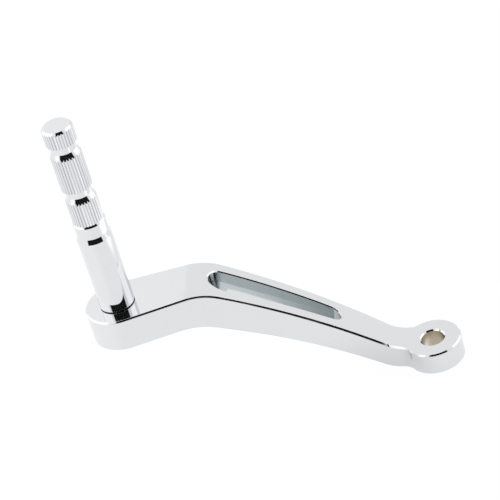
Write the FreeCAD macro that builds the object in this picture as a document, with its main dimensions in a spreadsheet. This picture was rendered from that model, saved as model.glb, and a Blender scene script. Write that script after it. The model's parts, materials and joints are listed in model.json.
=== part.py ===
"""Motorcycle gear shift lever: a bent arm, a barbed foot peg and the screw that holds the peg to the arm.

The origin is the middle of the pivot bore. +Z runs along the bore and the peg, +X from the pivot to the peg.
"""
import FreeCAD, Part
import math
import os
import Sketcher

# Driving sizes in millimetres, angles in degrees
SIZES = {
    # Pivot boss
    "boss_diameter": 23.6,
    "boss_thickness": 9.9,
    "bore_diameter": 9.5,
    "bore_chamfer": 0.6,
    # Pad under the peg
    "pad_diameter": 26.8,
    "pad_thickness": 14.3,
    "peg_reach": 117.2,
    "pad_rise": 58.86,
    "arm_offset": 4.2,
    # Side profile, drawn square to the bend line
    "bend_skew": 11.3,
    "bend_top_place": 88.2,
    "bend_top_radius": 22.6,
    "bend_bottom_place": 93.5,
    "bend_bottom_radius": 27.2,
    "crown_top_radius": 400.0,
    "crown_bottom_radius": 327.0,
    "neck_top_place": 5.7,
    "neck_top_radius": 16.5,
    "neck_bottom_place": 6.6,
    "neck_bottom_radius": 20.0,
    # Plan outline
    "arm_root_width": 12.0,
    "neck_flare_radius": 4.0,
    "outer_edge_chamfer": 0.6,
    # Tapered slot
    "slot_wide_diameter": 11.2,
    "slot_narrow_diameter": 6.8,
    "slot_wide_place": 74.6,
    "slot_narrow_place": 36.8,
    "slot_edge_chamfer": 0.4,
    # Foot peg, from its seat upwards
    "shank_diameter": 14.3,
    "shank_length": 34.2,
    "foot_chamfer": 0.5,
    "shoulder_length": 2.2,
    "collar_diameter": 13.1,
    "collar_length": 5.2,
    "collar_step": 0.9,
    "collar_relief": 0.45,
    "band_diameter": 12.6,
    "low_band_length": 10.4,
    "middle_band_length": 15.5,
    "tip_band_length": 6.5,
    "barb_cone_length": 2.5,
    "barb_neck_diameter": 10.4,
    "barb_neck_length": 3.1,
    "tip_chamfer": 1.0,
    # Straight knurl on the bands
    "knurl_count": 32,
    "knurl_depth": 0.32,
    "knurl_width": 0.97,
    # Screw behind the pad
    "screw_diameter": 8.0,
    "screw_length": 20.0,
    "screw_head_diameter": 13.0,
    "screw_head_height": 8.0,
    "screw_head_recess": 0.6,
    "screw_edge_chamfer": 0.6,
    "screw_key_width": 6.0,
    "screw_key_depth": 4.0,
    "screw_hole_clearance": 0.3,
    "screw_head_clearance": 0.5,
    "thread_clearance": 0.05,
    "thread_run_out": 3.0,
    # Margin by which cutting outlines and blanks stand past the solid
    "cut_margin": 6.0,
}

SHEET = "Sizes"
UP = FreeCAD.Vector(0, 0, 1)


class Size:
    """A length or angle with its value and the sheet expression that drives it."""

    def __init__(self, value, text):
        self.value = value
        self.text = text

    def __add__(self, other):
        return Size(self.value + other.value, f"({self.text} + {other.text})")

    def __sub__(self, other):
        return Size(self.value - other.value, f"({self.text} - {other.text})")

    def __mul__(self, factor):
        return Size(self.value * factor, f"({self.text} * {factor})")

    def __neg__(self):
        return Size(-self.value, f"(-{self.text})")

    def half(self):
        return Size(self.value / 2, f"({self.text} / 2)")


NOTHING = Size(0.0, "0")


def size(name):
    return Size(float(SIZES[name]), f"{SHEET}.{name}")


def make_sheet(doc):
    sheet = doc.addObject("Spreadsheet::Sheet", SHEET)
    for row, (name, value) in enumerate(SIZES.items(), start=1):
        sheet.set(f"A{row}", name)
        sheet.set(f"B{row}", str(value))
        sheet.setAlias(f"B{row}", name)
    doc.recompute()


def make_body(doc, label):
    body = doc.addObject("PartDesign::Body", label)
    body.Label = label
    return body


def make_sketch(body, name, plane, height=None, turn=None):
    """Sketch on one of the body's own planes, raised by height or turned about its vertical axis."""
    sketch = body.newObject("Sketcher::SketchObject", name)
    origin_planes = {feature.Role: feature for feature in body.Origin.OriginFeatures}
    sketch.AttachmentSupport = [(origin_planes[plane], "")]
    sketch.MapMode = "FlatFace"
    if height is not None:
        sketch.setExpression("AttachmentOffset.Base.z", height.text)
    if turn is not None:
        sketch.AttachmentOffset = FreeCAD.Placement(
            FreeCAD.Vector(), FreeCAD.Rotation(FreeCAD.Vector(0, -1, 0), turn.value))
        sketch.setExpression("AttachmentOffset.Rotation.Angle", turn.text)
    return sketch


def drive(sketch, constraint, driver):
    """Add a dimension and bind it to the sheet."""
    index = sketch.addConstraint(constraint)
    sketch.setExpression(f"Constraints[{index}]", driver.text)


def fix_distance(sketch, axis, geometry, vertex, distance):
    """Tie a vertex to the sketch's origin along one axis; the dimension itself is always positive."""
    if distance.value < 0:
        drive(sketch, Sketcher.Constraint(axis, geometry, vertex, -1, 1, -distance.value), -distance)
    else:
        drive(sketch, Sketcher.Constraint(axis, -1, 1, geometry, vertex, distance.value), distance)


def fix_point(sketch, geometry, vertex, x, y):
    fix_distance(sketch, "DistanceX", geometry, vertex, x)
    fix_distance(sketch, "DistanceY", geometry, vertex, y)


def fix_radius(sketch, geometry, radius):
    drive(sketch, Sketcher.Constraint("Radius", geometry, radius.value), radius)


def vector(x, y):
    return FreeCAD.Vector(x, y, 0)


def add_line(sketch, start, end):
    return sketch.addGeometry(Part.LineSegment(start, end), False)


def add_arc(sketch, centre, radius, start, end):
    """Arc from start to end about centre, the shorter way round; returns its index and its vertex order."""
    first = math.atan2(start.y - centre.y, start.x - centre.x)
    last = math.atan2(end.y - centre.y, end.x - centre.x)
    anticlockwise = (last - first) % math.tau < math.pi
    angles = (first, last) if anticlockwise else (last, first)
    circle = Part.Circle(centre, UP, radius)
    index = sketch.addGeometry(Part.ArcOfCircle(circle, *angles), False)
    return index, (1, 2) if anticlockwise else (2, 1)


def add_polygon(sketch, corners):
    """Closed straight-sided outline whose corners are each driven by the sheet."""
    points = [vector(x.value, y.value) for x, y in corners]
    first = sketch.GeometryCount
    count = len(points)
    for index, point in enumerate(points):
        add_line(sketch, point, points[(index + 1) % count])
    for index in range(count):
        sketch.addConstraint(
            Sketcher.Constraint("Coincident", first + index, 2, first + (index + 1) % count, 1))
    for index, (x, y) in enumerate(corners):
        fix_point(sketch, first + index, 1, x, y)


def add_circle(sketch, x, y, radius):
    index = sketch.addGeometry(Part.Circle(vector(x.value, y.value), UP, radius.value), False)
    fix_point(sketch, index, 3, x, y)
    fix_radius(sketch, index, radius)


def join(sketch, kind, ends):
    """Join neighbouring segment ends, smoothly for Tangent or as a corner for Coincident."""
    for (geometry, vertex), (other, other_vertex) in ends:
        sketch.addConstraint(Sketcher.Constraint(kind, geometry, vertex, other, other_vertex))


def pad(body, name, sketch, length):
    feature = body.newObject("PartDesign::Pad", name)
    feature.Profile = sketch
    feature.SideType = "Symmetric"
    feature.setExpression("Length", length.text)
    return feature


def pocket(body, name, sketch, depth=None, upwards=False):
    """Cut through everything both ways, or to a depth upwards or downwards from the sketch."""
    feature = body.newObject("PartDesign::Pocket", name)
    feature.Profile = sketch
    if depth is None:
        feature.Type = "ThroughAll"
        feature.SideType = "Symmetric"
    else:
        feature.setExpression("Length", depth.text)
        feature.Reversed = upwards
    body.Document.recompute()
    if not feature.Shape.Volume < feature.BaseFeature.Shape.Volume:
        raise RuntimeError(f"{name} cuts nothing")
    return feature


def revolve(body, name, sketch):
    feature = body.newObject("PartDesign::Revolution", name)
    feature.Profile = sketch
    feature.ReferenceAxis = (sketch, ["V_Axis"])
    feature.Angle = 360
    return feature


def chamfer(body, name, base, edges, amount):
    feature = body.newObject("PartDesign::Chamfer", name)
    feature.Base = (base, edges)
    feature.setExpression("Size", amount.text)
    body.Document.recompute()


def is_upright(face):
    """True for a wall that runs along Z."""
    u_min, u_max, v_min, v_max = face.ParameterRange
    normal = face.normalAt((u_min + u_max) / 2, (v_min + v_max) / 2)
    return abs(normal.z) < 1e-6


def rim_edges(shape, inside=None):
    """Names of the edges between upright walls and the faces above or below them, within a plan test."""
    names = []
    for index, edge in enumerate(shape.Edges, start=1):
        faces = shape.ancestorsOfType(edge, Part.Face)
        upright = [is_upright(face) for face in faces]
        middle = edge.valueAt((edge.FirstParameter + edge.LastParameter) / 2)
        if any(upright) and not all(upright) and (inside is None or inside(middle)):
            names.append(f"Edge{index}")
    return names


def circle_edges(shape, x, radius):
    """Names of the full circles of a radius about an upright axis at x."""
    names = []
    for index, edge in enumerate(shape.Edges, start=1):
        curve = edge.Curve
        if isinstance(curve, Part.Circle) and abs(curve.Radius - radius) < 1e-6:
            if math.hypot(curve.Center.x - x, curve.Center.y) < 1e-6:
                names.append(f"Edge{index}")
    return names


def slope_arcs(low_x, low_z, low_radius, crown_radius, high_x, high_z, high_radius):
    """Centres and joints of the three tangent arcs that climb from a low level to a high one.

    The low arc curves up out of the low level, the crown is a long gentle dome and the high arc levels out.
    """
    low = vector(low_x, low_z + low_radius)
    high = vector(high_x, high_z - high_radius)
    span = high.sub(low)
    from_low = crown_radius + low_radius
    from_high = crown_radius - high_radius
    along = (from_low ** 2 - from_high ** 2 + span.Length ** 2) / (2 * span.Length)
    aside = math.sqrt(from_low ** 2 - along ** 2)
    unit = FreeCAD.Vector(span).normalize()
    crown = low + unit * along + vector(unit.y, -unit.x) * aside
    low_joint = low + (crown - low) * (low_radius / from_low)
    high_joint = crown + (high - crown) * (crown_radius / from_high)
    return low, crown, high, low_joint, high_joint


def add_slope(sketch, low_x, low_z, low_radius, crown_radius, high_x, high_z, high_radius, ends):
    """Level run, three tangent arcs and level run, from the boss end to the pad end of the profile."""
    low, crown, high, low_joint, high_joint = slope_arcs(
        low_x.value, low_z.value, low_radius.value, crown_radius.value,
        high_x.value, high_z.value, high_radius.value)
    first_end, last_end = ends
    low_start = vector(low_x.value, low_z.value)
    high_end = vector(high_x.value, high_z.value)
    low_run = add_line(sketch, vector(first_end.value, low_z.value), low_start)
    low_arc, low_order = add_arc(sketch, low, low_radius.value, low_start, low_joint)
    crown_arc, crown_order = add_arc(sketch, crown, crown_radius.value, low_joint, high_joint)
    high_arc, high_order = add_arc(sketch, high, high_radius.value, high_joint, high_end)
    high_run = add_line(sketch, high_end, vector(last_end.value, high_z.value))
    join(sketch, "Tangent", [
        ((low_run, 2), (low_arc, low_order[0])),
        ((low_arc, low_order[1]), (crown_arc, crown_order[0])),
        ((crown_arc, crown_order[1]), (high_arc, high_order[0])),
        ((high_arc, high_order[1]), (high_run, 1)),
    ])
    for run in (low_run, high_run):
        sketch.addConstraint(Sketcher.Constraint("Horizontal", run))
    fix_radius(sketch, low_arc, low_radius)
    fix_radius(sketch, crown_arc, crown_radius)
    fix_radius(sketch, high_arc, high_radius)
    fix_distance(sketch, "DistanceX", low_arc, 3, low_x)
    fix_distance(sketch, "DistanceX", high_arc, 3, high_x)
    fix_point(sketch, low_run, 1, first_end, low_z)
    fix_point(sketch, high_run, 2, last_end, high_z)
    return low_run, high_run


def arm_blank(body):
    """Thick bar with the arm's side profile, extruded along the skewed bend line."""
    half_boss = size("boss_thickness").half()
    pad_top = size("pad_rise") + half_boss
    pad_bottom = pad_top - size("pad_thickness")
    ends = (
        -(size("boss_diameter") + size("cut_margin")),
        size("peg_reach") + size("pad_diameter") + size("cut_margin"),
    )
    sketch = make_sketch(body, "SideProfile", "XZ_Plane", turn=size("bend_skew"))
    top_low, top_high = add_slope(
        sketch, size("neck_top_place"), half_boss, size("neck_top_radius"), size("crown_top_radius"),
        size("bend_top_place"), pad_top, size("bend_top_radius"), ends)
    low, high = add_slope(
        sketch, size("neck_bottom_place"), -half_boss, size("neck_bottom_radius"),
        size("crown_bottom_radius"), size("bend_bottom_place"), pad_bottom, size("bend_bottom_radius"), ends)
    boss_end = add_line(sketch, vector(ends[0].value, half_boss.value), vector(ends[0].value, -half_boss.value))
    pad_end = add_line(sketch, vector(ends[1].value, pad_top.value), vector(ends[1].value, pad_bottom.value))
    join(sketch, "Coincident", [
        ((boss_end, 1), (top_low, 1)),
        ((boss_end, 2), (low, 1)),
        ((pad_end, 1), (top_high, 2)),
        ((pad_end, 2), (high, 2)),
    ])
    return pad(body, "ArmBlank", sketch, (size("pad_diameter") + size("boss_diameter")) * 2)


def add_side(sketch, side, reach, middle, pad_radius, boss_radius, flare, half_root):
    """Straight side and neck flare on one side of the plan, with the two points where they end.

    The side touches the pad, and carried on it would pass the pivot at the half root width from the middle line.
    """
    slant = math.asin(pad_radius.value / math.hypot(reach.value, half_root.value))
    slant -= math.atan2(half_root.value, reach.value)
    normal = vector(-math.sin(slant), side * math.cos(slant))
    forward = vector(math.cos(slant), side * math.sin(slant))
    pad_point = vector(reach.value, middle.value) + normal * pad_radius.value
    out = pad_point.dot(normal) + flare.value
    along = math.sqrt((boss_radius.value + flare.value) ** 2 - out ** 2)
    flare_centre = normal * out + forward * along
    neck_point = flare_centre - normal * flare.value
    boss_point = flare_centre * (boss_radius.value / (boss_radius.value + flare.value))
    line = add_line(sketch, pad_point, neck_point)
    arc, order = add_arc(sketch, flare_centre, flare.value, neck_point, boss_point)
    join(sketch, "Tangent", [((line, 2), (arc, order[0]))])
    fix_radius(sketch, arc, flare)
    root_y = middle + half_root if side > 0 else middle - half_root
    root = sketch.addGeometry(Part.Point(vector(0, root_y.value)), True)
    fix_point(sketch, root, 1, NOTHING, root_y)
    sketch.addConstraint(Sketcher.Constraint("PointOnObject", root, 1, line))
    return (line, 1, pad_point), (arc, order[1], boss_point)


def add_round_end(sketch, x, y, radius, first, last):
    """Arc about a centre, anticlockwise from one side to the other, joined smoothly to both."""
    angles = [math.atan2(point.y - y.value, point.x - x.value) % math.tau for point in (first[2], last[2])]
    circle = Part.Circle(vector(x.value, y.value), UP, radius.value)
    index = sketch.addGeometry(Part.ArcOfCircle(circle, *angles), False)
    fix_point(sketch, index, 3, x, y)
    fix_radius(sketch, index, radius)
    join(sketch, "Tangent", [((index, 1), first[:2]), ((index, 2), last[:2])])


def trim_to_plan(body):
    """Cut the blank back to the plan outline: round pad, straight tapered sides, flared neck and round boss."""
    reach = size("peg_reach")
    middle = -size("arm_offset")
    pad_radius = size("pad_diameter").half()
    boss_radius = size("boss_diameter").half()
    margin = size("cut_margin")
    sketch = make_sketch(body, "PlanOutline", "XY_Plane")
    sides = [
        add_side(sketch, side, reach, middle, pad_radius, boss_radius, size("neck_flare_radius"),
                 size("arm_root_width").half())
        for side in (1, -1)
    ]
    (upper_pad, upper_boss), (lower_pad, lower_boss) = sides
    add_round_end(sketch, reach, middle, pad_radius, lower_pad, upper_pad)
    add_round_end(sketch, NOTHING, NOTHING, boss_radius, upper_boss, lower_boss)
    width = (size("pad_diameter") + size("boss_diameter")) * 2 + margin
    low_x = -(size("boss_diameter") * 2 + margin * 2)
    high_x = reach + size("pad_diameter") * 2 + margin * 2
    add_polygon(sketch, [(low_x, -width), (high_x, -width), (high_x, width), (low_x, width)])
    return pocket(body, "PlanCut", sketch)


def cut_slot(body):
    """Tapered slot with round ends through the sloping part of the arm."""
    middle = -size("arm_offset")
    wide_x = size("slot_wide_place")
    narrow_x = size("slot_narrow_place")
    wide = size("slot_wide_diameter").half()
    narrow = size("slot_narrow_diameter").half()
    lean = math.asin((wide.value - narrow.value) / (wide_x.value - narrow_x.value))
    sketch = make_sketch(body, "SlotOutline", "XY_Plane")
    sides = []
    for side in (1, -1):
        normal = vector(-math.sin(lean), side * math.cos(lean))
        wide_point = vector(wide_x.value, middle.value) + normal * wide.value
        narrow_point = vector(narrow_x.value, middle.value) + normal * narrow.value
        line = add_line(sketch, wide_point, narrow_point)
        sides.append(((line, 1, wide_point), (line, 2, narrow_point)))
    (upper_wide, upper_narrow), (lower_wide, lower_narrow) = sides
    add_round_end(sketch, wide_x, middle, wide, lower_wide, upper_wide)
    add_round_end(sketch, narrow_x, middle, narrow, upper_narrow, lower_narrow)
    return pocket(body, "Slot", sketch)


def in_slot_area(point):
    """True in the plan area that holds only the slot's own edges."""
    narrow_end = SIZES["slot_narrow_place"] - SIZES["slot_narrow_diameter"]
    wide_end = SIZES["slot_wide_place"] + SIZES["slot_wide_diameter"]
    half_width = SIZES["slot_wide_diameter"] / 2 + SIZES["slot_edge_chamfer"]
    return narrow_end < point.x < wide_end and abs(point.y + SIZES["arm_offset"]) < half_width


def make_lever_arm(doc):
    body = make_body(doc, "lever_arm")
    arm_blank(body)
    doc.recompute()
    outline = trim_to_plan(body)
    chamfer(body, "OuterEdges", outline, rim_edges(outline.Shape), size("outer_edge_chamfer"))
    slot = cut_slot(body)
    chamfer(body, "SlotEdges", slot, rim_edges(slot.Shape, in_slot_area), size("slot_edge_chamfer"))

    bore_sketch = make_sketch(body, "BoreCircle", "XY_Plane")
    bore_radius = size("bore_diameter").half()
    add_circle(bore_sketch, NOTHING, NOTHING, bore_radius)
    bore = pocket(body, "PivotBore", bore_sketch)
    chamfer(body, "BoreChamfers", bore, circle_edges(bore.Shape, 0, bore_radius.value), size("bore_chamfer"))

    reach = size("peg_reach")
    middle = -size("arm_offset")
    pad_bottom = size("pad_rise") + size("boss_thickness").half() - size("pad_thickness")
    head_space = size("screw_head_height") + size("screw_head_recess")
    hole_sketch = make_sketch(body, "ScrewHoleCircle", "XY_Plane")
    add_circle(hole_sketch, reach, middle, size("screw_diameter").half() + size("screw_hole_clearance"))
    pocket(body, "ScrewHole", hole_sketch)
    head_sketch = make_sketch(body, "ScrewHeadCircle", "XY_Plane", height=pad_bottom)
    add_circle(head_sketch, reach, middle, size("screw_head_diameter").half() + size("screw_head_clearance"))
    pocket(body, "ScrewHeadSpace", head_sketch, head_space, upwards=True)
    return body


def peg_profile():
    """Half section of the peg from its seat to its tip, and the height where the knurl starts."""
    shank = size("shank_diameter").half()
    collar = size("collar_diameter").half()
    crest = size("band_diameter").half()
    neck = size("barb_neck_diameter").half()
    chamfer = size("foot_chamfer")
    height = size("shank_length")
    corners = [(NOTHING, NOTHING), (shank - chamfer, NOTHING), (shank, chamfer), (shank, height)]
    height = height + size("shoulder_length")
    corners.append((collar, height))
    height = height + size("collar_length")
    corners.append((collar, height))
    height = height + size("collar_step")
    corners.append((crest - size("collar_relief"), height))
    knurl_start = height
    for band in ("low_band_length", "middle_band_length"):
        corners.append((crest, height))
        height = height + size(band)
        corners.append((crest, height))
        height = height + size("barb_cone_length")
        corners.append((neck, height))
        height = height + size("barb_neck_length")
        corners.append((neck, height))
    corners.append((crest, height))
    height = height + size("tip_band_length")
    corners.append((crest, height))
    height = height + size("tip_chamfer")
    corners.append((crest - size("tip_chamfer"), height))
    corners.append((NOTHING, height))
    return corners, knurl_start, height


def cut_knurl(body, knurl_start, tip):
    """Straight knurl: one V groove along the bands, repeated round the peg."""
    crest = size("band_diameter").half()
    flank = size("knurl_width").half()
    depth = size("knurl_depth")
    sketch = make_sketch(body, "KnurlGroove", "XY_Plane", height=tip)
    add_polygon(sketch, [(crest - depth, NOTHING), (crest + depth, flank * 2), (crest + depth, -(flank * 2))])
    groove = pocket(body, "KnurlCut", sketch, tip - knurl_start)
    pattern = body.newObject("PartDesign::PolarPattern", "Knurl")
    pattern.Originals = [groove]
    pattern.Axis = (sketch, ["N_Axis"])
    pattern.Angle = 360
    pattern.setExpression("Occurrences", size("knurl_count").text)
    body.Tip = pattern


def seat_on_pad(body, height):
    """Stand a body over the pad's centre at a height."""
    body.setExpression("Placement.Base.x", size("peg_reach").text)
    body.setExpression("Placement.Base.y", (-size("arm_offset")).text)
    body.setExpression("Placement.Base.z", height.text)


def make_shift_peg(doc):
    body = make_body(doc, "shift_peg")
    corners, knurl_start, tip = peg_profile()
    sketch = make_sketch(body, "PegSection", "XZ_Plane")
    add_polygon(sketch, corners)
    revolve(body, "PegTurned", sketch)
    doc.recompute()

    web = size("pad_thickness") - size("screw_head_height") - size("screw_head_recess")
    hole_sketch = make_sketch(body, "ThreadedHoleCircle", "XY_Plane")
    add_circle(hole_sketch, NOTHING, NOTHING, size("screw_diameter").half() + size("thread_clearance"))
    pocket(body, "ThreadedHole", hole_sketch, size("screw_length") - web + size("thread_run_out"), upwards=True)
    cut_knurl(body, knurl_start, tip)
    seat_on_pad(body, size("pad_rise") + size("boss_thickness").half())
    return body


def make_peg_screw(doc):
    """Socket-head cap screw, drawn with the underside of its head at its own zero."""
    body = make_body(doc, "peg_screw")
    head = size("screw_head_diameter").half()
    thread = size("screw_diameter").half()
    chamfer = size("screw_edge_chamfer")
    bottom = -size("screw_head_height")
    length = size("screw_length")
    sketch = make_sketch(body, "ScrewSection", "XZ_Plane")
    add_polygon(sketch, [
        (NOTHING, bottom), (head - chamfer, bottom), (head, bottom + chamfer), (head, NOTHING),
        (thread, NOTHING), (thread, length - chamfer), (thread - chamfer, length), (NOTHING, length),
    ])
    revolve(body, "ScrewTurned", sketch)
    doc.recompute()

    key_sketch = make_sketch(body, "KeySocket", "XY_Plane", height=bottom)
    corner = size("screw_key_width") * (1 / math.sqrt(3))
    flat = size("screw_key_width").half()
    add_polygon(key_sketch, [
        (corner, NOTHING), (corner.half(), flat), (-corner.half(), flat),
        (-corner, NOTHING), (-corner.half(), -flat), (corner.half(), -flat),
    ])
    pocket(body, "KeySocketCut", key_sketch, size("screw_key_depth"), upwards=True)
    pad_bottom = size("pad_rise") + size("boss_thickness").half() - size("pad_thickness")
    seat_on_pad(body, pad_bottom + size("screw_head_recess") + size("screw_head_height"))
    return body


def check_document(doc):
    for item in doc.Objects:
        if "Invalid" in item.State or "Error" in item.State:
            raise RuntimeError(f"{item.Name} failed: {item.State}")


def write_parts(bodies):
    for body in bodies:
        shape = body.Shape
        if shape.isNull() or not shape.isValid() or len(shape.Solids) != 1:
            raise RuntimeError(f"{body.Label} has no valid single solid")
    os.makedirs("parts", exist_ok=True)
    for body in bodies:
        body.Shape.exportStep(f"parts/{body.Label}.step")
        box = body.Shape.BoundBox
        print(body.Label, "volume %.1f" % body.Shape.Volume,
              "box %.2f %.2f %.2f to %.2f %.2f %.2f" % (box.XMin, box.YMin, box.ZMin, box.XMax, box.YMax, box.ZMax))


def main():
    doc = FreeCAD.newDocument("ShiftLever")
    make_sheet(doc)
    bodies = [make_lever_arm(doc), make_shift_peg(doc), make_peg_screw(doc)]
    doc.recompute()
    check_document(doc)
    write_parts(bodies)


main()
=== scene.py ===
"""Studio picture of the motorcycle gear shift lever: polished chrome in a white tent with a dark opening.

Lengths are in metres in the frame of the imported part, whose origin is the middle of the pivot bore.
"""
import json
import math

import bpy
from mathutils import Matrix, Vector


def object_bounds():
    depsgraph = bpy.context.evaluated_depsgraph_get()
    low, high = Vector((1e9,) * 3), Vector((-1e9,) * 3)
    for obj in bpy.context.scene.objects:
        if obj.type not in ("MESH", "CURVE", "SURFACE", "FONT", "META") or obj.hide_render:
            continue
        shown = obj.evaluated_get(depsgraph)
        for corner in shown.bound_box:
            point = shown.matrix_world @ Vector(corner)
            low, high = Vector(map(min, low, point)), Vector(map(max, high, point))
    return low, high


MM = 0.001
DEGREES_PER_RADIAN = 180 / math.pi
WHITE = (1, 1, 1, 1)

# Camera of the photograph, which looks at the lever from the side of the arm's near edge
CAMERA_PLACE = Vector((42.308, 903.355, 709.063)) * MM
CAMERA_RIGHT = Vector((-0.95846, 0.15106, -0.24193))
CAMERA_DOWN = Vector((0.28474, 0.55594, -0.78093))
FOCAL_PIXELS = 2801
FRAME_PIXELS = 500
SENSOR_WIDTH = 36.0

# Walls of the light tent, a little brighter where a direction's x part is large
TENT_LEVEL = 1.0
TENT_BRIGHT_X = (-0.05, 0.09)
TENT_BRIGHT_LEVEL = 1.09

# Softboxes and dark opening in degrees, with azimuths from the camera's side (+Y) towards +X
SOFTBOXES = (
    {"azimuth": (-122.0, -74.0), "elevation": (-12.0, 60.0)},
    {"azimuth": (58.0, 140.0), "elevation": (4.0, 62.0)},
)
SOFTBOX_EDGE = 7.0
SOFTBOX_LEVEL = 1.5
OPENING_ELEVATION = (-11.0, 66.0)
OPENING_EDGE = 2.5
OPENING_LEVEL = 0.012

# Side edges of the opening: points of elevation and azimuth, and a white panel that hangs in it
OPENING_RIGHT = (
    (-3.0, -45.0), (1.0, -52.0), (3.0, -52.0), (6.0, -51.0), (9.0, -51.5), (15.0, -56.0),
    (28.0, -67.0), (30.0, -67.0), (38.0, -50.0), (46.0, -45.0),
)
OPENING_LEFT = ((46.0, 48.0), (52.0, 28.0))
PANEL = {"azimuth": (-28.0, 60.0), "elevation": (18.0, 31.0)}
PANEL_EDGE = 1.0

# Floor just under the boss
FLOOR_DROP = 0.4 * MM
FLOOR_SIZE = 0.9
FLOOR_LEVEL = 0.95
FLOOR_SHADE = (0.07, 0.07, 0.07, 1)
FLOOR_PAPER = (0.8, 0.8, 0.8, 1)

# Floor as the chrome mirrors it: painted shadow of the arm by distance from its run, a patch of painted light
# and a painted brighter end
FLOOR_RUN_MIDDLE = 66 * MM
FLOOR_RUN_HALF = 34 * MM
FLOOR_DISTANCE = (6 * MM, 48 * MM)
FLOOR_PAINTED_SHADOW_LEVELS = (0.74, 0.96)
FLOOR_PATCH_X = (-64 * MM, -30 * MM)
FLOOR_PATCH_EDGE = 10 * MM
FLOOR_PAINTED_LIGHT_LEVEL = 0.35
FLOOR_PEG_END_X = (120 * MM, 220 * MM)
FLOOR_PAINTED_END_LEVEL = 0.06

# Noise and edge sampling that the materials share
SOFT_DETAIL = 2.0
TOOL_DETAIL = 3.0
FINE_DETAIL = 4.0
NOISE_RANGE = (0.3, 0.7)
EDGE_SAMPLES = 8

# Polished chrome: pairs of colours and roughness limits between which noise varies
CHROME_COLOURS = ((0.715, 0.728, 0.745, 1), (0.738, 0.748, 0.760, 1))
CHROME_ROUGHNESS = (0.03, 0.07)
CLOUD_SCALE = 90.0
HAZE_SCALE = 240.0
HAZE_RANGE = (0.3, 0.75)
UPRIGHT_TILT = (0.2, 0.4)

# Bore: tan turned rings, made lighter on the peg's side by painted light, fading out past the bore's radius
BORE_FADE = (0.1 * MM, 0.3 * MM)
BORE_RINGS = (30.0, 30.0, 1500.0)
BORE_TAN = ((0.42, 0.36, 0.26, 1), (0.60, 0.54, 0.42, 1))
BORE_PAINTED_LIGHT = ((0.66, 0.62, 0.54, 1), (0.86, 0.82, 0.74, 1))
BORE_PAINTED_LIGHT_X = (0.3 * MM, 3.2 * MM)
BORE_ROUGHNESS = (0.20, 0.34)

# Slot: milled walls, with painted shade above a sloping line and a painted reflection below it towards the
# wide end
SLOT_X = (32 * MM, 82 * MM)
SLOT_X_EDGE = 0.5 * MM
SLOT_HALF_WIDTH_FADE = (6.1 * MM, 6.3 * MM)
SLOT_STROKES = (900.0, 900.0, 40.0)
SLOT_PAINTED_SHADE = ((0.435, 0.475, 0.49, 1), (0.525, 0.56, 0.57, 1))
SLOT_PAINTED_REFLECTION = ((0.66, 0.70, 0.71, 1), (0.76, 0.79, 0.795, 1))
SLOT_PAINTED_REFLECTION_X = (32 * MM, 74 * MM)
SLOT_LINE_START = -0.72 * MM
SLOT_LINE_RISE = 0.7327
SLOT_LINE_EDGE = 0.5 * MM
SLOT_ROUGHNESS = (0.05, 0.13)

# Counterbore behind the pad: thin plating, fading out past its radius and past its end face
RECESS_RADIUS_FADE = (7.05 * MM, 7.15 * MM)
RECESS_TOP_FADE = (58.2 * MM, 58.4 * MM)
RECESS_COLOUR = (0.55, 0.56, 0.57, 1)
RECESS_ROUGHNESS = 0.2

# Arm's surface: faint waves, tool marks, and a buffed near edge at the neck that leans towards the peg
ARM_EDGE_RADIUS = 0.15 * MM
WAVE_SCALE = 130.0
WAVE_DEPTH = 0.003 * MM
MARK_DEPTH = 0.006 * MM
PLAIN_MARK = 0.5
NECK_X = (7 * MM, 18.2 * MM)
NECK_X_EDGE = 0.5 * MM
NECK_LEAN = (0.5, 1.1)
NECK_FACING_Y = (0.3, 0.5)
NECK_FACING_Z = (0.12, 0.28)

# Peg: turning rings, darker and rougher roots of the knurl between two radii, and painted shade on the foot
# up to the shank's low end
PEG_EDGE_RADIUS = 0.1 * MM
PEG_RINGS = (20.0, 20.0, 2600.0)
PEG_RING_DEPTH = 0.0012 * MM
ROOT_RADII = (5.78 * MM, 6.14 * MM)
ROOT_EDGE = 0.1 * MM
ROOT_COLOUR = (0.55, 0.56, 0.58, 1)
ROOT_ROUGHNESS = 0.16
FOOT_FADE = (-0.1 * MM, 0.05 * MM)
FOOT_PAINTED_SHADE = (0.03, 0.03, 0.03, 1)
FOOT_ROUGHNESS = 0.4

# Screw: zinc plating in crystalline patches over a drawn grain
SCREW_EDGE_RADIUS = 0.2 * MM
SCREW_PATCH_SCALE = 300.0
SCREW_GRAIN = (2000.0, 2000.0, 200.0)
SCREW_GRAIN_DEPTH = 0.004 * MM
SCREW_COLOURS = ((0.34, 0.35, 0.38, 1), (0.50, 0.51, 0.52, 1))
SCREW_ROUGHNESS = (0.26, 0.42)


def new_material(name):
    material = bpy.data.materials.new(name)
    material.use_nodes = True
    material.node_tree.nodes.clear()
    return material


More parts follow.
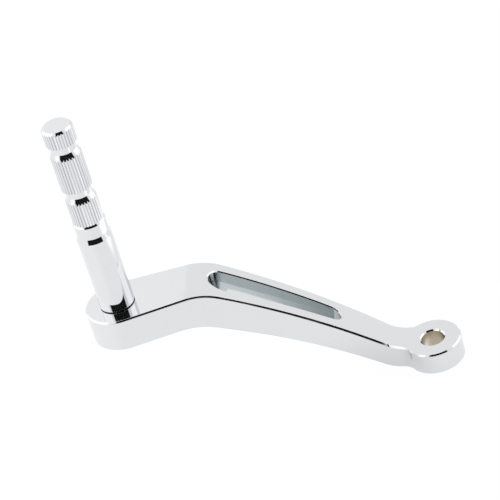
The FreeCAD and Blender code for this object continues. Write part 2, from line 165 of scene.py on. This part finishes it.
class Nodes:
    """Short names for building a node tree."""

    def __init__(self, tree):
        self.tree = tree

    def add(self, kind, **settings):
        node = self.tree.nodes.new(kind)
        for name, value in settings.items():
            setattr(node, name, value)
        return node

    def link(self, source, target):
        self.tree.links.new(source, target)

    def feed(self, socket, value):
        """Set a socket to a number or colour, or link it to another node's output."""
        if isinstance(value, bpy.types.NodeSocket):
            self.link(value, socket)
        else:
            socket.default_value = value

    def math(self, operation, first, second=0.0):
        node = self.add("ShaderNodeMath", operation=operation)
        self.feed(node.inputs[0], first)
        self.feed(node.inputs[1], second)
        return node.outputs[0]

    def plus(self, first, second):
        return self.math("ADD", first, second)

    def minus(self, first, second):
        return self.math("SUBTRACT", first, second)

    def times(self, first, second):
        return self.math("MULTIPLY", first, second)

    def map_range(self, value, limits, results, **settings):
        node = self.add("ShaderNodeMapRange", **settings)
        for socket, item in zip(node.inputs, (value, *limits, *results)):
            self.feed(socket, item)
        return node.outputs[0]

    def ramp(self, value, limits, results=(0.0, 1.0)):
        """Smooth step of a value from one range to another."""
        return self.map_range(value, limits, results, interpolation_type="SMOOTHSTEP")

    def fade(self, value, limits):
        """One below two limits, falling smoothly to zero between them."""
        return self.ramp(value, limits, (1.0, 0.0))

    def band(self, value, limits, edge):
        """One between two limits, falling softly to zero over an edge on each side."""
        low, high = limits
        rise = self.ramp(value, (low - edge, low + edge))
        return self.times(rise, self.fade(value, (high - edge, high + edge)))

    def broken_line(self, value, points):
        """Value of a line through points, level before the first and after the last."""
        total = points[0][1]
        for (start, low), (end, high) in zip(points, points[1:]):
            total = self.plus(self.map_range(value, (start, end), (0.0, high - low)), total)
        return total

    def split(self, vector):
        node = self.add("ShaderNodeSeparateXYZ")
        self.link(vector, node.inputs[0])
        return node.outputs[0], node.outputs[1], node.outputs[2]

    def length(self, first, second):
        squares = self.plus(self.times(first, first), self.times(second, second))
        return self.math("SQRT", squares)

    def noise(self, vector, scale, detail=SOFT_DETAIL):
        node = self.add("ShaderNodeTexNoise")
        self.link(vector, node.inputs["Vector"])
        node.inputs["Scale"].default_value = scale
        node.inputs["Detail"].default_value = detail
        return node.outputs["Fac"]

    def streaks(self, vector, scales, detail=SOFT_DETAIL):
        """Noise with its own scale along each axis."""
        node = self.add("ShaderNodeVectorMath", operation="MULTIPLY")
        self.link(vector, node.inputs[0])
        node.inputs[1].default_value = scales
        return self.noise(node.outputs[0], 1.0, detail)

    def mix_colour(self, amount, first, second):
        node = self.add("ShaderNodeMix", data_type="RGBA")
        self.feed(node.inputs["Factor"], amount)
        colours = [socket for socket in node.inputs if socket.type == "RGBA"]
        self.feed(colours[0], first)
        self.feed(colours[1], second)
        return [socket for socket in node.outputs if socket.type == "RGBA"][0]

    def mix(self, amount, first, second):
        """Value between two others."""
        node = self.add("ShaderNodeMix", data_type="FLOAT")
        factor, _, start, end = node.inputs[:4]
        self.feed(factor, amount)
        self.feed(start, first)
        self.feed(end, second)
        return node.outputs[0]

    def bump(self, height, depth, normal):
        node = self.add("ShaderNodeBump")
        node.inputs["Strength"].default_value = 1.0
        node.inputs["Distance"].default_value = depth
        self.link(height, node.inputs["Height"])
        self.link(normal, node.inputs["Normal"])
        return node.outputs[0]

    def round_edges(self, radius):
        node = self.add("ShaderNodeBevel", samples=EDGE_SAMPLES)
        node.inputs["Radius"].default_value = radius
        return node.outputs[0]

    def lean(self, normal, amount):
        """Normal turned towards +X by an amount."""
        shift = self.add("ShaderNodeCombineXYZ")
        self.link(amount, shift.inputs[0])
        total = self.add("ShaderNodeVectorMath", operation="ADD")
        self.link(normal, total.inputs[0])
        self.link(shift.outputs[0], total.inputs[1])
        unit = self.add("ShaderNodeVectorMath", operation="NORMALIZE")
        self.link(total.outputs[0], unit.inputs[0])
        return unit.outputs[0]

    def place(self):
        return self.add("ShaderNodeTexCoord").outputs["Object"]

    def metal(self, colour, roughness, normal):
        """Metallic surface, joined to the material's output."""
        shader = self.add("ShaderNodeBsdfPrincipled")
        shader.inputs["Metallic"].default_value = 1.0
        self.link(colour, shader.inputs["Base Color"])
        self.link(roughness, shader.inputs["Roughness"])
        self.link(normal, shader.inputs["Normal"])
        self.finish(shader)

    def finish(self, shader, kind="ShaderNodeOutputMaterial"):
        output = self.add(kind)
        self.link(shader.outputs[0], output.inputs["Surface"])


def make_tent(scene):
    """World: white walls, a bright softbox at each side, and a dark opening that the camera doesn't see."""
    world = bpy.data.worlds.new("light_tent")
    scene.world = world
    world.use_nodes = True
    world.node_tree.nodes.clear()
    nodes = Nodes(world.node_tree)
    x, y, z = nodes.split(nodes.add("ShaderNodeTexCoord").outputs["Generated"])
    azimuth = nodes.times(nodes.math("ARCTAN2", x, y), DEGREES_PER_RADIAN)
    elevation = nodes.times(nodes.math("ARCSINE", z), DEGREES_PER_RADIAN)

    def window(limits, edge):
        across = nodes.band(azimuth, limits["azimuth"], edge)
        return nodes.times(across, nodes.band(elevation, limits["elevation"], edge))

    softboxes = [window(softbox, SOFTBOX_EDGE) for softbox in SOFTBOXES]
    walls = nodes.ramp(x, TENT_BRIGHT_X, (TENT_LEVEL, TENT_BRIGHT_LEVEL))
    walls = nodes.mix(nodes.math("MAXIMUM", *softboxes), walls, SOFTBOX_LEVEL)

    from_right = nodes.minus(azimuth, nodes.broken_line(elevation, OPENING_RIGHT))
    from_left = nodes.minus(nodes.broken_line(elevation, OPENING_LEFT), azimuth)
    across = nodes.ramp(nodes.math("MINIMUM", from_right, from_left), (-OPENING_EDGE, OPENING_EDGE))
    opening = nodes.times(across, nodes.band(elevation, OPENING_ELEVATION, OPENING_EDGE))
    opening = nodes.times(opening, nodes.minus(1.0, window(PANEL, PANEL_EDGE)))
    mirrored = nodes.mix(opening, walls, OPENING_LEVEL)

    camera_ray = nodes.add("ShaderNodeLightPath").outputs["Is Camera Ray"]
    background = nodes.add("ShaderNodeBackground")
    background.inputs["Color"].default_value = WHITE
    nodes.link(nodes.mix(camera_ray, mirrored, TENT_LEVEL), background.inputs["Strength"])
    nodes.finish(background, "ShaderNodeOutputWorld")


def floor_material(arm_y):
    """White paper: plain under diffuse light, nearly white with a faint shade where it is seen, and with
    painted shadow and painted light where it is mirrored.
    """
    material = new_material("floor_white")
    nodes = Nodes(material.node_tree)
    x, y, _ = nodes.split(nodes.add("ShaderNodeNewGeometry").outputs["Position"])
    # Painted shadow of the arm and painted light, on the floor as the chrome mirrors it
    from_middle = nodes.math("ABSOLUTE", nodes.minus(x, FLOOR_RUN_MIDDLE))
    past_end = nodes.math("MAXIMUM", nodes.minus(from_middle, FLOOR_RUN_HALF), 0.0)
    distance = nodes.length(past_end, nodes.minus(y, arm_y))
    mirrored = nodes.ramp(distance, FLOOR_DISTANCE, FLOOR_PAINTED_SHADOW_LEVELS)
    patch = nodes.band(x, FLOOR_PATCH_X, FLOOR_PATCH_EDGE)
    mirrored = nodes.plus(mirrored, nodes.times(patch, FLOOR_PAINTED_LIGHT_LEVEL))
    mirrored = nodes.plus(mirrored, nodes.ramp(x, FLOOR_PEG_END_X, (0.0, FLOOR_PAINTED_END_LEVEL)))

    path = nodes.add("ShaderNodeLightPath")
    camera_ray = path.outputs["Is Camera Ray"]
    seen = nodes.math("MAXIMUM", camera_ray, path.outputs["Is Glossy Ray"])
    seen = nodes.math("MAXIMUM", seen, path.outputs["Is Transmission Ray"])
    white = nodes.add("ShaderNodeEmission")
    white.inputs["Color"].default_value = WHITE
    nodes.link(nodes.mix(camera_ray, mirrored, FLOOR_LEVEL), white.inputs["Strength"])
    shade = nodes.add("ShaderNodeBsdfDiffuse")
    shade.inputs["Color"].default_value = FLOOR_SHADE
    lifted = nodes.add("ShaderNodeAddShader")
    nodes.link(white.outputs[0], lifted.inputs[0])
    nodes.link(shade.outputs[0], lifted.inputs[1])
    paper = nodes.add("ShaderNodeBsdfDiffuse")
    paper.inputs["Color"].default_value = FLOOR_PAPER
    both = nodes.add("ShaderNodeMixShader")
    nodes.link(seen, both.inputs["Fac"])
    nodes.link(paper.outputs[0], both.inputs[1])
    nodes.link(lifted.outputs[0], both.inputs[2])
    nodes.finish(both)
    return material


def make_floor(scene, low_z, arm_y):
    half = FLOOR_SIZE / 2
    corners = [(-half, -half, 0), (half, -half, 0), (half, half, 0), (-half, half, 0)]
    mesh = bpy.data.meshes.new("floor")
    mesh.from_pydata(corners, [], [(0, 1, 2, 3)])
    mesh.materials.append(floor_material(arm_y))
    floor = bpy.data.objects.new("floor", mesh)
    floor.location.z = low_z - FLOOR_DROP
    scene.collection.objects.link(floor)


def make_camera(scene):
    data = bpy.data.cameras.new("photo_camera")
    data.sensor_width = SENSOR_WIDTH
    data.lens = SENSOR_WIDTH * FOCAL_PIXELS / FRAME_PIXELS
    camera = bpy.data.objects.new("photo_camera", data)
    right = CAMERA_RIGHT.normalized()
    back = right.cross(-CAMERA_DOWN).normalized()
    up = back.cross(right)
    turn = Matrix((right, up, back)).transposed()
    camera.matrix_world = Matrix.Translation(CAMERA_PLACE) @ turn.to_4x4()
    scene.collection.objects.link(camera)
    scene.camera = camera


def plating(nodes, place):
    """Colour and roughness of polished chrome: slightly cloudy, with faint hazy patches."""
    colour = nodes.mix_colour(nodes.noise(place, CLOUD_SCALE), *CHROME_COLOURS)
    roughness = nodes.ramp(nodes.noise(place, HAZE_SCALE, FINE_DETAIL), HAZE_RANGE, CHROME_ROUGHNESS)
    return colour, roughness


def upright(nodes):
    """One on walls that run along Z."""
    normal_z = nodes.split(nodes.add("ShaderNodeNewGeometry").outputs["Normal"])[2]
    return nodes.fade(nodes.math("ABSOLUTE", normal_z), UPRIGHT_TILT)


def slot_colour(nodes, strokes, x, z):
    """Colour of the slot's walls: painted shade above a sloping line, and a painted reflection below it
    towards the wide end.
    """
    painted_shade = nodes.mix_colour(strokes, *SLOT_PAINTED_SHADE)
    # The lower tone, clear, is a painted reflection; the upper tone is painted shade
    clear = nodes.mix_colour(nodes.ramp(x, SLOT_PAINTED_REFLECTION_X), painted_shade, nodes.mix_colour(strokes, *SLOT_PAINTED_REFLECTION))
    line = nodes.plus(nodes.times(x, SLOT_LINE_RISE), SLOT_LINE_START)
    upper = nodes.ramp(nodes.minus(z, line), (-SLOT_LINE_EDGE, SLOT_LINE_EDGE))
    return nodes.mix_colour(upper, clear, painted_shade)


def arm_normal(nodes, x):
    """Normal of the arm: softened edges, and the near edge of the neck buffed over towards the peg."""
    normal = nodes.round_edges(ARM_EDGE_RADIUS)
    _, facing_y, facing_z = nodes.split(normal)
    near_edge = nodes.times(nodes.ramp(facing_y, NECK_FACING_Y), nodes.ramp(facing_z, NECK_FACING_Z))
    buffed = nodes.times(near_edge, nodes.band(x, NECK_X, NECK_X_EDGE))
    return nodes.lean(normal, nodes.times(buffed, nodes.ramp(x, NECK_X, NECK_LEAN)))


def make_arm_chrome(name, bore_radius, peg_x, arm_y):
    """Chrome of the arm: a bare tan bore, milled slot walls and thin plating in the counterbore."""
    material = new_material(name)
    nodes = Nodes(material.node_tree)
    place = nodes.place()
    x, y, z = nodes.split(place)
    wall = upright(nodes)
    colour, roughness = plating(nodes, place)

    from_bore = nodes.minus(nodes.length(x, y), bore_radius)
    bore = nodes.times(nodes.fade(from_bore, BORE_FADE), wall)
    rings = nodes.streaks(place, BORE_RINGS, TOOL_DETAIL)
    # Painted light: the bore's tan turns lighter towards the peg's side
    painted_light = nodes.mix_colour(rings, *BORE_PAINTED_LIGHT)
    tan = nodes.mix_colour(nodes.ramp(x, BORE_PAINTED_LIGHT_X), nodes.mix_colour(rings, *BORE_TAN), painted_light)
    colour = nodes.mix_colour(bore, colour, tan)
    roughness = nodes.mix(bore, roughness, nodes.ramp(rings, NOISE_RANGE, BORE_ROUGHNESS))

    from_middle = nodes.math("ABSOLUTE", nodes.minus(y, arm_y))
    slot = nodes.times(nodes.band(x, SLOT_X, SLOT_X_EDGE), nodes.fade(from_middle, SLOT_HALF_WIDTH_FADE))
    slot = nodes.times(slot, wall)
    strokes = nodes.streaks(place, SLOT_STROKES, TOOL_DETAIL)
    # Painted shade and painted reflection on the slot's walls
    colour = nodes.mix_colour(slot, colour, slot_colour(nodes, strokes, x, z))
    roughness = nodes.mix(slot, roughness, nodes.ramp(strokes, NOISE_RANGE, SLOT_ROUGHNESS))

    from_screw = nodes.length(nodes.minus(x, peg_x), from_middle)
    recess = nodes.times(nodes.fade(from_screw, RECESS_RADIUS_FADE), nodes.fade(z, RECESS_TOP_FADE))
    colour = nodes.mix_colour(recess, colour, RECESS_COLOUR)
    roughness = nodes.mix(recess, roughness, RECESS_ROUGHNESS)

    marks = nodes.mix(slot, nodes.mix(bore, PLAIN_MARK, rings), strokes)
    normal = nodes.bump(nodes.noise(place, WAVE_SCALE), WAVE_DEPTH, arm_normal(nodes, x))
    nodes.metal(colour, roughness, nodes.bump(marks, MARK_DEPTH, normal))
    return material


def make_peg_chrome(name, peg_x, arm_y, shank_low):
    """Chrome of the peg: fine turning rings, darker and rougher knurl roots, and painted shade on the foot
    under the shank.
    """
    material = new_material(name)
    nodes = Nodes(material.node_tree)
    place = nodes.place()
    x, y, z = nodes.split(place)
    colour, roughness = plating(nodes, place)

    from_axis = nodes.length(nodes.minus(x, peg_x), nodes.minus(y, arm_y))
    root = nodes.times(nodes.band(from_axis, ROOT_RADII, ROOT_EDGE), upright(nodes))
    colour = nodes.mix_colour(root, colour, ROOT_COLOUR)
    roughness = nodes.mix(root, roughness, ROOT_ROUGHNESS)

    # Painted shade on the foot, where the peg meets the pad
    foot = nodes.fade(nodes.minus(z, shank_low), FOOT_FADE)
    colour = nodes.mix_colour(foot, colour, FOOT_PAINTED_SHADE)
    roughness = nodes.mix(foot, roughness, FOOT_ROUGHNESS)

    rings = nodes.streaks(place, PEG_RINGS)
    nodes.metal(colour, roughness, nodes.bump(rings, PEG_RING_DEPTH, nodes.round_edges(PEG_EDGE_RADIUS)))
    return material


def make_steel(name):
    """Zinc-plated steel of the screw: crystalline patches and a fine drawn grain."""
    material = new_material(name)
    nodes = Nodes(material.node_tree)
    place = nodes.place()
    colour = nodes.mix_colour(nodes.noise(place, SCREW_PATCH_SCALE, FINE_DETAIL), *SCREW_COLOURS)
    grain = nodes.streaks(place, SCREW_GRAIN)
    roughness = nodes.ramp(grain, NOISE_RANGE, SCREW_ROUGHNESS)
    nodes.metal(colour, roughness, nodes.bump(grain, SCREW_GRAIN_DEPTH, nodes.round_edges(SCREW_EDGE_RADIUS)))
    return material


def dress(piece, material):
    slots = piece.data.materials
    slots.clear()
    slots.append(material)


scene = bpy.context.scene
scene.view_settings.view_transform = "Standard"

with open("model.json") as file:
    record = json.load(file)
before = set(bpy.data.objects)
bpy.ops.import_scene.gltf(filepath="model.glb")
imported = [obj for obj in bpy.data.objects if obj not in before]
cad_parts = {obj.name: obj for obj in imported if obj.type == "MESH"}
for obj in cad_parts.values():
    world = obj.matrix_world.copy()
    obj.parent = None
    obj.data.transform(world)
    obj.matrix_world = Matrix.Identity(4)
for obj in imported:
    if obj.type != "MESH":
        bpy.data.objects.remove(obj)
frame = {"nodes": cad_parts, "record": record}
cad_box = [list(corner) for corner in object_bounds()]
mounts = {mount["name"]: mount for mount in frame["record"]["mounts"]}
bore_radius = mounts["pivot_bore"]["dims"]["r_mm"] * MM
peg_x, arm_y, shank_middle = mounts["peg_shank"]["pos_m"]
shank_low = shank_middle - mounts["peg_shank"]["dims"]["length_mm"] * MM / 2

make_camera(scene)
make_tent(scene)
make_floor(scene, cad_box[0][2], arm_y)
dress(frame["nodes"]["lever_arm"], make_arm_chrome("arm_chrome", bore_radius, peg_x, arm_y))
dress(frame["nodes"]["shift_peg"], make_peg_chrome("peg_chrome", peg_x, arm_y, shank_low))
dress(frame["nodes"]["peg_screw"], make_steel("screw_steel"))
